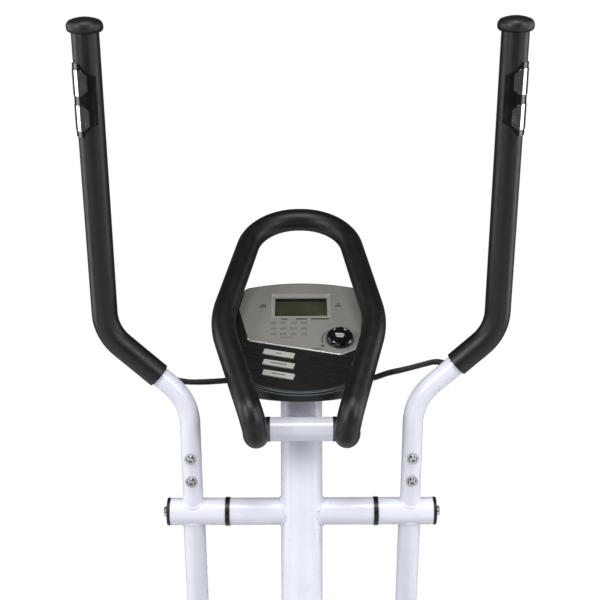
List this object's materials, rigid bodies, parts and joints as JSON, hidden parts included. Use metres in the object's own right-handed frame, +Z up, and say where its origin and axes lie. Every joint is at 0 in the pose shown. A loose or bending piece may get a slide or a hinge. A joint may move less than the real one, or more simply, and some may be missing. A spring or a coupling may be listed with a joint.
{
  "type": "elliptical trainer",
  "caption": "Elliptical cross trainer with a leaning mast, swing arms with foam grips, a fixed loop handlebar, a console and a rear crank drive that moves two foot platforms.",
  "frame": {"origin": "middle of the whole machine's footprint, on the floor", "axes": "+X to the user's right, +Y the way the user faces, +Z up"},
  "size_m": [0.579, 1.0546, 1.5849],
  "materials": {
    "white_paint": "white powder coat",
    "drive_paint": "black powder coat on the drive frame parts",
    "foam": "black closed-cell foam",
    "black_plastic": "fine moulded texture",
    "bush_nylon": "black nylon",
    "silver_plastic": "satin silver lacquer",
    "light_keys": "light grey keys",
    "knob_plastic": "glossy black dial",
    "lens": "clear acrylic",
    "lcd": "olive display",
    "board": "printed board",
    "chrome": "polished chrome",
    "bolt_steel": "bright zinc",
    "steel": "ground steel",
    "iron": "turned iron",
    "rubber": "black rubber",
    "tyre": "hard wheel rubber",
    "pulley_plastic": "black nylon"
  },
  "bodies": {
    "root": {"base_frame": "white_paint", "brake_servo": "black_plastic", "casing_screws": "bolt_steel", "console_back": "black_plastic", "console_board": "board", "console_bracket": "drive_paint", "console_faceplate": "silver_plastic", "console_front": "black_plastic", "display_lens": "lens", "display_panel": "lcd", "drive_bearings": "steel", "drive_belt": "rubber", "drive_pins": "steel", "frame_bolts": "bolt_steel", "front_stabiliser": "white_paint", "left_housing": "black_plastic", "left_sensor_cable": "rubber", "loop_foam": "foam", "loop_handlebar": "white_paint", "mast": "white_paint", "pivot_axle": "steel", "pivot_bushes": "bush_nylon", "rear_stabiliser": "white_paint", "right_housing": "black_plastic", "right_sensor_cable": "rubber", "stabiliser_end_caps": "black_plastic"},
    "crank": {"crank_shaft": "steel", "crank_arms": "drive_paint", "crank_pulley": "pulley_plastic"},
    "flywheel": {"flywheel": "iron"},
    "idler": {"idler_pulley": "pulley_plastic"},
    "magnet_bracket": {"magnet_bracket": "steel"},
    "left_arm": {"left_lower_arm": "white_paint", "left_upper_arm": "white_paint", "left_grip_foam": "foam", "left_arm_caps": "black_plastic", "left_arm_bolts": "bolt_steel", "left_pulse_housing": "black_plastic", "left_pulse_plates": "chrome"},
    "right_arm": {"right_lower_arm": "white_paint", "right_upper_arm": "white_paint", "right_grip_foam": "foam", "right_arm_caps": "black_plastic", "right_arm_bolts": "bolt_steel", "right_pulse_housing": "black_plastic", "right_pulse_plates": "chrome"},
    "left_pedal": {"left_pedal_bar": "white_paint", "left_platform": "black_plastic", "left_bar_bolts": "bolt_steel"},
    "right_pedal": {"right_pedal_bar": "white_paint", "right_platform": "black_plastic", "right_bar_bolts": "bolt_steel"},
    "start_key": {"key_start": "light_keys"},
    "mode_key": {"key_mode": "light_keys"},
    "stop_key": {"key_stop": "light_keys"},
    "dial_push": {"dial_stem": "knob_plastic"},
    "dial": {"dial_knob": "knob_plastic"},
    "left_wheel": {"left_transport_wheel": "tyre"},
    "right_wheel": {"right_transport_wheel": "tyre"}
  },
  "joints": [
    {"name": "crank_spin", "type": "hinge", "parent": "root", "child": "crank", "pos_m": [0, -0.3147, 0.32], "axis": [1, 0, 0], "continuous": true},
    {"name": "flywheel_spin", "type": "hinge", "parent": "root", "child": "flywheel", "pos_m": [0, -0.0797, 0.275], "axis": [1, 0, 0], "continuous": true},
    {"name": "idler_spin", "type": "hinge", "parent": "root", "child": "idler", "pos_m": [0.0485, -0.17922, 0.21847], "axis": [1, 0, 0], "continuous": true},
    {"name": "magnet_swing", "type": "hinge", "parent": "root", "child": "magnet_bracket", "pos_m": [0, 0.02995, 0.21552], "axis": [-1, 0, 0], "range_deg": [0, 5]},
    {"name": "left_arm_swing", "type": "hinge", "parent": "root", "child": "left_arm", "pos_m": [-0.157, 0.255, 0.925], "axis": [1, 0, 0], "range_deg": [-15, 15], "deforming": ["left_sensor_cable"]},
    {"name": "right_arm_swing", "type": "hinge", "parent": "root", "child": "right_arm", "pos_m": [0.157, 0.255, 0.925], "axis": [1, 0, 0], "range_deg": [-15, 15], "deforming": ["right_sensor_cable"]},
    {"name": "left_pedal_joint", "type": "hinge", "parent": "left_arm", "child": "left_pedal", "pos_m": [-0.157, 0.47976, 0.36869], "axis": [1, 0, 0], "range_deg": [-15, 15]},
    {"name": "right_pedal_joint", "type": "hinge", "parent": "right_arm", "child": "right_pedal", "pos_m": [0.157, 0.47976, 0.36869], "axis": [1, 0, 0], "range_deg": [-15, 15]},
    {"name": "start_key_press", "type": "slide", "parent": "root", "child": "start_key", "axis": [0, 0.6157, -0.788], "range_m": [0, 0.001], "stiffness_N_per_m": 400, "springref_m": -0.001},
    {"name": "mode_key_press", "type": "slide", "parent": "root", "child": "mode_key", "axis": [0, 0.6157, -0.788], "range_m": [0, 0.001], "stiffness_N_per_m": 400, "springref_m": -0.001},
    {"name": "stop_key_press", "type": "slide", "parent": "root", "child": "stop_key", "axis": [0, 0.6157, -0.788], "range_m": [0, 0.001], "stiffness_N_per_m": 400, "springref_m": -0.001},
    {"name": "dial_press", "type": "slide", "parent": "root", "child": "dial_push", "axis": [0, 0.6157, -0.788], "range_m": [0, 0.001], "stiffness_N_per_m": 500, "springref_m": -0.001},
    {"name": "dial_turn", "type": "hinge", "parent": "dial_push", "child": "dial", "pos_m": [0.0566, 0.26089, 1.18085], "axis": [0, -0.6157, 0.788], "continuous": true},
    {"name": "left_wheel_spin", "type": "hinge", "parent": "root", "child": "left_wheel", "pos_m": [-0.244, 0.504, 0.026], "axis": [1, 0, 0], "continuous": true},
    {"name": "right_wheel_spin", "type": "hinge", "parent": "root", "child": "right_wheel", "pos_m": [0.244, 0.504, 0.026], "axis": [1, 0, 0], "continuous": true}
  ],
  "couplings": [
    {"joint": "flywheel_spin", "follows": "crank_spin", "ratio": 7.8571},
    {"joint": "idler_spin", "follows": "crank_spin", "ratio": -7.0469},
    {"joint": "right_arm_swing", "follows": "left_arm_swing", "ratio": -1},
    {"joint": "left_pedal_joint", "follows": "left_arm_swing", "ratio": -1},
    {"joint": "right_pedal_joint", "follows": "left_arm_swing", "ratio": 1}
  ]
}
